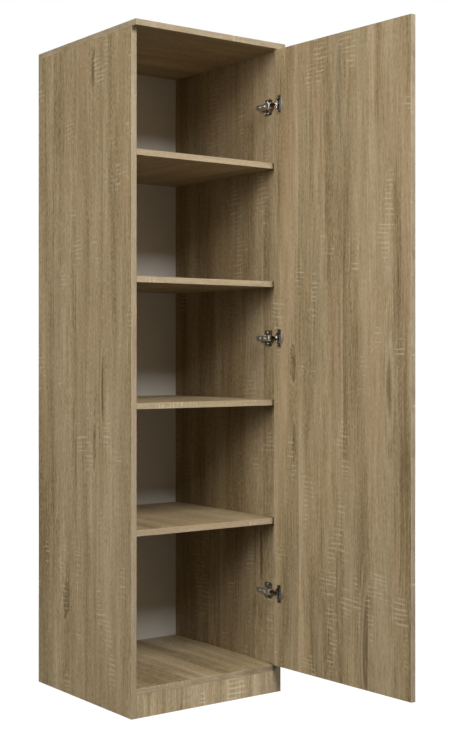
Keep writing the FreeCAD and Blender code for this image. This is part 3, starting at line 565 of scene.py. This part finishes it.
# ------------------------------------------------------------------ operators


class CUPBOARD_OT_stage(bpy.types.Operator):
    """Add the floor, the soft studio light and the camera"""

    bl_idname = "cupboard.stage"
    bl_label = "Stage, light and camera"

    def execute(self, context):
        scene = context.scene
        scene.view_settings.view_transform = "Standard"
        # just under the plinth, so that the two faces don't fight
        only()
        bpy.ops.mesh.primitive_plane_add(size=14, location=(0, 1.5, -0.5 * MM))
        floor = context.object
        floor.name = "studio_floor"
        bpy.ops.object.transform_apply(location=True, rotation=True, scale=True)
        floor.data.materials.append(self.studio_paper(scene.cupboard_colours.floor))

        self.surround(scene)
        lights = (
            # name, place, width in metres and power in watts
            ("front_light", (-0.44, -4.18, 4.47), 2.4, 325),
            ("left_light", (-5.18, -0.59, 2.35), 1.25, 118),
            ("wide_left_light", (-4.84, -1.95, 2.35), 2.1, 90),
            # the back and the right side get a softer light of their own
            ("rear_light", (2.6, 3.9, 2.9), 2.2, 170),
        )
        for name, place, size, power in lights:
            self.soft_light(name, place, size, power)

        camera_data = bpy.data.cameras.new("camera")
        camera = bpy.data.objects.new("camera", camera_data)
        scene.collection.objects.link(camera)
        camera.location = (-2.12137, -2.80309, 0.94145)
        camera.rotation_euler = (math.radians(90), 0, math.radians(-35.08))
        camera_data.lens = 62.91
        camera_data.shift_x = 0.0867
        camera_data.shift_y = -0.02856
        scene.camera = camera
        return {"FINISHED"}

    @staticmethod
    def studio_paper(colour):
        """Matt background paper: it takes soft shadows and gives no highlight. To the camera it is
        lit up as bright as the surroundings, fully so where the lights no longer reach it."""
        material, tree = new_material("matt_studio_floor")
        seen = node(tree, "LightPath").outputs["Is Camera Ray"]
        matt = node(tree, "BsdfDiffuse", {"Color": colour})
        place = node(tree, "TexCoord").outputs["Object"]
        far = node(tree, "VectorMath", {0: place}, operation="LENGTH").outputs["Value"]
        strength = node(
            tree, "MapRange",
            {"Value": far, "From Min": 1.0, "From Max": 3.0, "To Min": 0.92, "To Max": 1.02},
            interpolation_type="SMOOTHSTEP",
        )
        glow = node(tree, "Emission", {"Color": WHITE, "Strength": strength.outputs[0]})
        lit = node(tree, "AddShader", {0: matt.outputs[0], 1: glow.outputs[0]})
        mixed = node(tree, "MixShader", {0: seen, 1: matt.outputs[0], 2: lit.outputs[0]})
        node(tree, "OutputMaterial", {"Surface": mixed.outputs[0]})
        return material

    @staticmethod
    def surround(scene):
        """White surroundings to the camera, and a faint warm light on everything else."""
        world = bpy.data.worlds.new("studio")
        scene.world = world
        world.use_nodes = True
        tree = world.node_tree
        tree.nodes.clear()
        seen = node(tree, "LightPath").outputs["Is Camera Ray"]
        white = node(tree, "Background", {"Color": WHITE, "Strength": 1.0})
        faint = node(tree, "Background", {"Color": (1, 0.78, 0.5, 1), "Strength": 0.045})
        mixed = node(tree, "MixShader", {0: seen, 1: faint.outputs[0], 2: white.outputs[0]})
        node(tree, "OutputWorld", {"Surface": mixed.outputs[0]})

    @staticmethod
    def soft_light(name, place, size, power):
        """A square area light, a little warm, that faces the middle of the cupboard."""
        target = Vector((0, 0, 0.95))
        data = bpy.data.lights.new(name, "AREA")
        data.size = size
        data.energy = power
        data.color = (1.0, 0.985, 0.96)
        light = bpy.data.objects.new(name, data)
        light.location = place
        light.rotation_euler = (target - Vector(place)).to_track_quat("-Z", "Y").to_euler()
        bpy.context.scene.collection.objects.link(light)


class CUPBOARD_OT_boards(bpy.types.Operator):
    """Cover the boards with printed oak, each with the grain its own way"""

    bl_idname = "cupboard.boards"
    bl_label = "Boards"

    def execute(self, context):
        door_across = Matrix.Rotation(context.scene.cupboard_sizes.door_angle, 3, "Z") @ -X
        left = oak_print("oak_print_left_side", Y, Z, 1, bare=True, figures=LEFT_FIGURES)
        door = oak_print(
            "oak_print_door", door_across, Z, 3, pored=0.55, bare=True, figures=DOOR_FIGURES
        )
        # the plinth's print is made 1.34 times lighter: painted light, standing in for the front light that
        # falls off towards the floor
        plinth = oak_print("oak_print_plinth_painted_light", X, Z, 4, tone=1.34, saturation=0.88, pored=0.5, bare=True)
        cover(["left_side_panel"], left)
        cover(["right_side_panel"], oak_print("oak_print_right_side", Y, Z, 2, bare=True))
        cover(["door_panel"], door)
        cover(["plinth_panel"], plinth)
        cover(["top_panel"], oak_print("oak_print_top", -Y, X, 5, bare=True))
        cover(["bottom_panel"], oak_print("oak_print_bottom", X, Y, 6, bare=True))
        for number in (1, 2, 3, 4):
            cover([f"shelf_{number}"], oak_print(f"oak_print_shelf_{number}", X, Y, 6 + number, bare=True))
        return {"FINISHED"}


class CUPBOARD_OT_edge_bands(bpy.types.Operator):
    """Cover the edge bands with the same oak, a little lighter"""

    bl_idname = "cupboard.edge_bands"
    bl_label = "Edge bands"

    def execute(self, context):
        turn = Matrix.Rotation(context.scene.cupboard_sizes.door_angle, 3, "Z")
        slant = 1 / math.sqrt(2)
        # the top's and the door's bands run two ways, so their grain lies half-way between
        bands = (
            # part, across, along, seed, tone and saturation
            ("side", "sides", X, Z, 21, 1.04, 0.84),
            ("shelf", "shelves", Z, X, 22, 1.14, 0.84),
            ("top", "top", Z, slant * (X + Y), 23, 1.06, 0.84),
            ("door", "door", turn @ -Y, slant * (Z + turn @ -X), 24, 1.10, 0.74),
        )
        for part, ending, across, along, seed, tone, saturation in bands:
            band = oak_print(f"oak_band_{ending}", across, along, seed, tone, saturation, calm=2.2)
            cover([f"{part}_edge_bands"], band)
        return {"FINISHED"}


class CUPBOARD_OT_back_panel(bpy.types.Operator):
    """Paint the hardboard back"""

    bl_idname = "cupboard.back_panel"
    bl_label = "Back panel"

    def execute(self, context):
        cover(["back_panel"], painted_hardboard())
        return {"FINISHED"}


class CUPBOARD_OT_hinge_arms(bpy.types.Operator):
    """Model the pressed arms of the hinges and the two screws in each"""

    bl_idname = "cupboard.hinge_arms"
    bl_label = "Hinge arms"

    def execute(self, context):
        sizes, colours = context.scene.cupboard_sizes, context.scene.cupboard_colours
        fold_round, hole_radius = 1.8 * MM, 2.5 * MM
        # the slot's depths count from the fixing screw, and the field's from the cupboard's front
        slot_front, slot_rear, slot_half = 8.2 * MM, 6 * MM, 3.6 * MM
        field_front, field_rear, field_half = 6 * MM, 20 * MM, 4.2 * MM
        field_depth, field_round = 0.45 * MM, 3 * MM

        low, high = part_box("hinge_arm_top")
        centre = (low.z + high.z) / 2
        arm = block("hinge_arm_pressed", low, high)
        # a channel that is open to the side panel and at both ends
        pick("FACE", lambda f: f.normal.x > 0.9 or abs(f.normal.y) > 0.9)
        bpy.ops.mesh.delete(type="FACE")
        pick("EDGE", lambda e: runs(e, Y) and middle(e).x < low.x + MM)
        bpy.ops.mesh.bevel(offset=fold_round, segments=4, affect="EDGES")
        apply_modifier(arm, "SOLIDIFY", thickness=sizes.arm_sheet, offset=-1)
        bpy.ops.object.mode_set(mode="EDIT")
        nose, heel, small = sizes.arm_slant, 1.5 * sizes.arm_slant, 0.5 * sizes.arm_slant
        corners = (
            ((low.x + nose, low.y, 0), (-1, -1, 0)),
            ((high.x - nose, low.y, 0), (1, -1, 0)),
            ((high.x - heel, high.y, 0), (1, 1, 0)),
            ((low.x + small, high.y, 0), (-1, 1, 0)),
        )
        for spot, away in corners:
            bpy.ops.mesh.select_all(action="SELECT")
            bpy.ops.mesh.bisect(plane_co=spot, plane_no=away, use_fill=True, clear_outer=True)

        screw_low, screw_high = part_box("hinge_arm_screws_top")
        head = (screw_high.z - screw_low.z) / 2
        fixing, adjusting = screw_high.y - head, screw_low.y + head
        outside, inside = low.x - MM, low.x + 2 * sizes.arm_sheet
        tools = []
        for depth in (fixing, adjusting):
            ends = (outside, depth, centre), (inside, depth, centre)
            tools.append(disc("hole", hole_radius, *ends, "X", 24))
        # the slot that shows the plate's spine, and a pressed field at the front of the web
        slot = block(
            "slot", (outside, fixing - slot_front, centre - slot_half),
            (inside, fixing - slot_rear, centre + slot_half),
        )
        field = block(
            "field", (outside, field_front, centre - field_half),
            (low.x + field_depth, field_rear, centre + field_half),
        )
        pick("EDGE", lambda e: runs(e, X))
        bpy.ops.mesh.bevel(offset=field_round, segments=4, affect="EDGES")
        carve(arm, tools + [slot, field])
        finished(arm, 0.25 * MM)
        # satin nickel on pressed steel: pale and warm, with wide, blurred highlights
        satin = plain_metal("satin_nickel_plated_steel", colours.nickel, 0.42, 2)
        fit_hinges(arm, "hinge_arm", "carcass", satin)

        places = [(low.x, depth, centre) for depth in (fixing, adjusting)]
        pair = screws(
            "hinge_arm_screw_pair", places, "X", head, rise=low.x - screw_low.x, shank=2 * MM, reach=10 * MM
        )
        zinc = bpy.data.materials["zinc_plated_steel"]
        fit_hinges(pair, "hinge_arm_screws", "carcass", zinc)
        return {"FINISHED"}


class CUPBOARD_OT_hinge_plates(bpy.types.Operator):
    """Model the mounting plates of the hinges and the two screws in each"""

    bl_idname = "cupboard.hinge_plates"
    bl_label = "Hinge mounting plates"

    def execute(self, context):
        sizes, colours = context.scene.cupboard_sizes, context.scene.cupboard_colours
        wing_gap, wing_rear = 0.5 * MM, 48 * MM
        border_width, border_rise, boss_margin = 1.6 * MM, 0.7 * MM, 1.2 * MM
        spine_half, spine_round = 5.7 * MM, 2.5 * MM
        screw_hole, thread_hole, thread_depth = 3.2 * MM, 2.2 * MM, 11 * MM

        low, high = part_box("hinge_plate_top")
        screw_low, screw_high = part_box("hinge_plate_screws_top")
        centre = (low.z + high.z) / 2
        head = (screw_high.y - screw_low.y) / 2
        line, half = (screw_high.y + screw_low.y) / 2, (screw_high.z - screw_low.z) / 2 - head
        levels = (centre - half, centre + half)
        face = high.x - sizes.wing_sheet
        plate = block("hinge_plate_cast", (face, low.y + wing_gap, low.z), (high.x, wing_rear, high.z))
        pick("EDGE", lambda e: runs(e, X))
        bpy.ops.mesh.bevel(offset=sizes.wing_round, segments=8, affect="EDGES")
        # a raised border round the wings
        pick("FACE", lambda f: f.normal.x < -0.9)
        bpy.ops.mesh.inset(thickness=border_width)
        bpy.ops.mesh.extrude_region_move(TRANSFORM_OT_translate={"value": (border_rise, 0, 0)})
        tools = []
        for level in levels:
            ends = (face, line, level), (high.x, line, level)
            tools.append(disc("boss", head + boss_margin, *ends, "X", 32))
        spine = block("spine", (low.x, low.y, centre - spine_half), (high.x, high.y, centre + spine_half))
        pick("EDGE", lambda e: runs(e, Z) and middle(e).x < low.x + MM)
        bpy.ops.mesh.bevel(offset=spine_round, segments=4, affect="EDGES")
        carve(plate, tools + [spine], "UNION")

        tools = []
        for level in levels:
            ends = (face - MM, line, level), (high.x + MM, line, level)
            tools.append(disc("hole", screw_hole, *ends, "X", 24))
        arm_low, arm_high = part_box("hinge_arm_screws_top")
        arm_head = (arm_high.z - arm_low.z) / 2
        for depth in (arm_high.y - arm_head, arm_low.y + arm_head):
            ends = (low.x - MM, depth, centre), (low.x + thread_depth, depth, centre)
            tools.append(disc("hole", thread_hole, *ends, "X", 24))
        carve(plate, tools)
        finished(plate, 0.25 * MM)
        # nickel over a zinc casting: bright, with soft reflections
        bright = plain_metal("nickel_plated_zinc_casting", colours.nickel, 0.24, 3)
        fit_hinges(plate, "hinge_plate", "carcass", bright)

        places = [(face, line, level) for level in levels]
        pair = screws(
            "hinge_plate_screw_pair", places, "X", head, rise=face - screw_low.x, shank=3 * MM,
            reach=13.5 * MM,
        )
        zinc = bpy.data.materials["zinc_plated_steel"]
        fit_hinges(pair, "hinge_plate_screws", "carcass", zinc)
        return {"FINISHED"}


class CUPBOARD_OT_hinge_cups(bpy.types.Operator):
    """Model the cups let into the door and the two screws in each"""

    bl_idname = "cupboard.hinge_cups"
    bl_label = "Hinge cups"

    def execute(self, context):
        sizes, colours = context.scene.cupboard_sizes, context.scene.cupboard_colours
        dimple_half, dimple_depth, dimple_round = Vector((5.6, 0, 3.6)) * MM, 0.9 * MM, 1.2 * MM

        low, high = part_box("hinge_cup_top")
        centre, rise = (low.z + high.z) / 2, sizes.cup_screw_rise
        cup = merged_copy("hinge_cup_pressed", "hinge_cup_top")
        # a square dimple round each screw
        levels = (centre - rise, centre + rise)
        spots = [Vector((sizes.cup_inset, -sizes.cup_flange, level)) for level in levels]
        tools = []
        for spot in spots:
            dimple = block("dimple", spot - dimple_half - MM * Y, spot + dimple_half + dimple_depth * Y)
            pick("EDGE", lambda e: runs(e, Y))
            bpy.ops.mesh.bevel(offset=dimple_round, segments=3, affect="EDGES")
            tools.append(to_door(dimple))
        carve(cup, tools)
        finished(cup, 0.2 * MM)
        # nickel on drawn steel, rough, with hardly a highlight; its darkish brown-grey colour is a painted
        # reflection, standing in for the oak that the cup would mirror
        dull = plain_metal("nickel_steel_painted_oak_reflection", colours.nickel_painted_oak_reflection, 0.5, 2)
        fit_hinges(cup, "hinge_cup", "door", dull)

        places = [spot + dimple_depth * Y for spot in spots]
        pair = screws(
            "hinge_cup_screw_pair", places, "Y", head=3.2 * MM, rise=1.5 * MM, shank=1.8 * MM, reach=12 * MM
        )
        # black zinc on steel, dark with small sharp highlights; the black of the heads is painted shade,
        # standing in for the shade in the square dimples round them
        dark = plain_metal("dark_zinc_steel_painted_shade", colours.black_zinc_painted_shade, 0.3, 2)
        fit_hinges(to_door(pair), "hinge_cup_screws", "door", dark)
        return {"FINISHED"}


class CUPBOARD_OT_hinge_levers(bpy.types.Operator):
    """Round the edges of the hinges' levers and polish them"""

    bl_idname = "cupboard.hinge_levers"
    bl_label = "Hinge levers"

    def execute(self, context):
        colours = context.scene.cupboard_colours
        # polished nickel on stamped steel: nearly a mirror
        polished = plain_metal("polished_nickel_plated_steel", colours.nickel, 0.06, 6)
        for kind in ("hinge_outer_lever", "hinge_inner_levers"):
            lever = finished(merged_copy(f"{kind}_stamped", f"{kind}_top"), 0.3 * MM)
            fit_hinges(lever, kind, "hinge_levers", polished)
        return {"FINISHED"}


class CUPBOARD_OT_fittings(bpy.types.Operator):
    """Give the pins, screws, nails, cams and dowels their finish"""

    bl_idname = "cupboard.fittings"
    bl_label = "Fittings"

    def execute(self, context):
        colours = context.scene.cupboard_colours
        # zinc on steel: a bluish grey, a little cloudy
        zinc = plain_metal("zinc_plated_steel", colours.zinc, 0.32, 2)
        # nickel on turned steel: smooth and slightly warm
        nickel = plain_metal("nickel_plated_steel", colours.nickel, 0.2, 2)
        # a bare zinc casting: pale grey with a matt skin
        casting = plain_metal("zinc_die_casting", colours.casting, 0.45, 1)
        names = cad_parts
        cover([n for n in names if n.startswith("hinge_")], nickel)
        plain = ["cam_bolts", "top_screws", "back_nails"]
        cover([n for n in names if n.endswith("_pins")] + plain, zinc)
        cover(["cam_fittings"], casting)
        cover(["top_screw_caps"], moulded_plastic())
        cover(["wood_dowels"], turned_beech())
        return {"FINISHED"}


class CUPBOARD_PT_panel(bpy.types.Panel):
    """The cupboard's tools"""

    bl_idname = "CUPBOARD_PT_panel"
    bl_label = "Store cupboard"
    bl_space_type = "VIEW_3D"
    bl_region_type = "UI"
    bl_category = "Cupboard"

    def draw(self, context):
        for step in STEPS:
            self.layout.operator(step.bl_idname)


STEPS = (
    CUPBOARD_OT_boards,
    CUPBOARD_OT_edge_bands,
    CUPBOARD_OT_back_panel,
    CUPBOARD_OT_fittings,
    CUPBOARD_OT_hinge_arms,
    CUPBOARD_OT_hinge_plates,
    CUPBOARD_OT_hinge_cups,
    CUPBOARD_OT_hinge_levers,
    CUPBOARD_OT_stage,
)
CLASSES = (CupboardSizes, CupboardColours, *STEPS, CUPBOARD_PT_panel)


def register():
    for item in CLASSES:
        bpy.utils.register_class(item)
    bpy.types.Scene.cupboard_sizes = PointerProperty(type=CupboardSizes)
    bpy.types.Scene.cupboard_colours = PointerProperty(type=CupboardColours)


def unregister():
    del bpy.types.Scene.cupboard_colours
    del bpy.types.Scene.cupboard_sizes
    for item in reversed(CLASSES):
        bpy.utils.unregister_class(item)


def main():
    register()
    for step in STEPS:
        group, name = step.bl_idname.split(".")
        getattr(getattr(bpy.ops, group), name)()


if __name__ == "__main__":
    main()
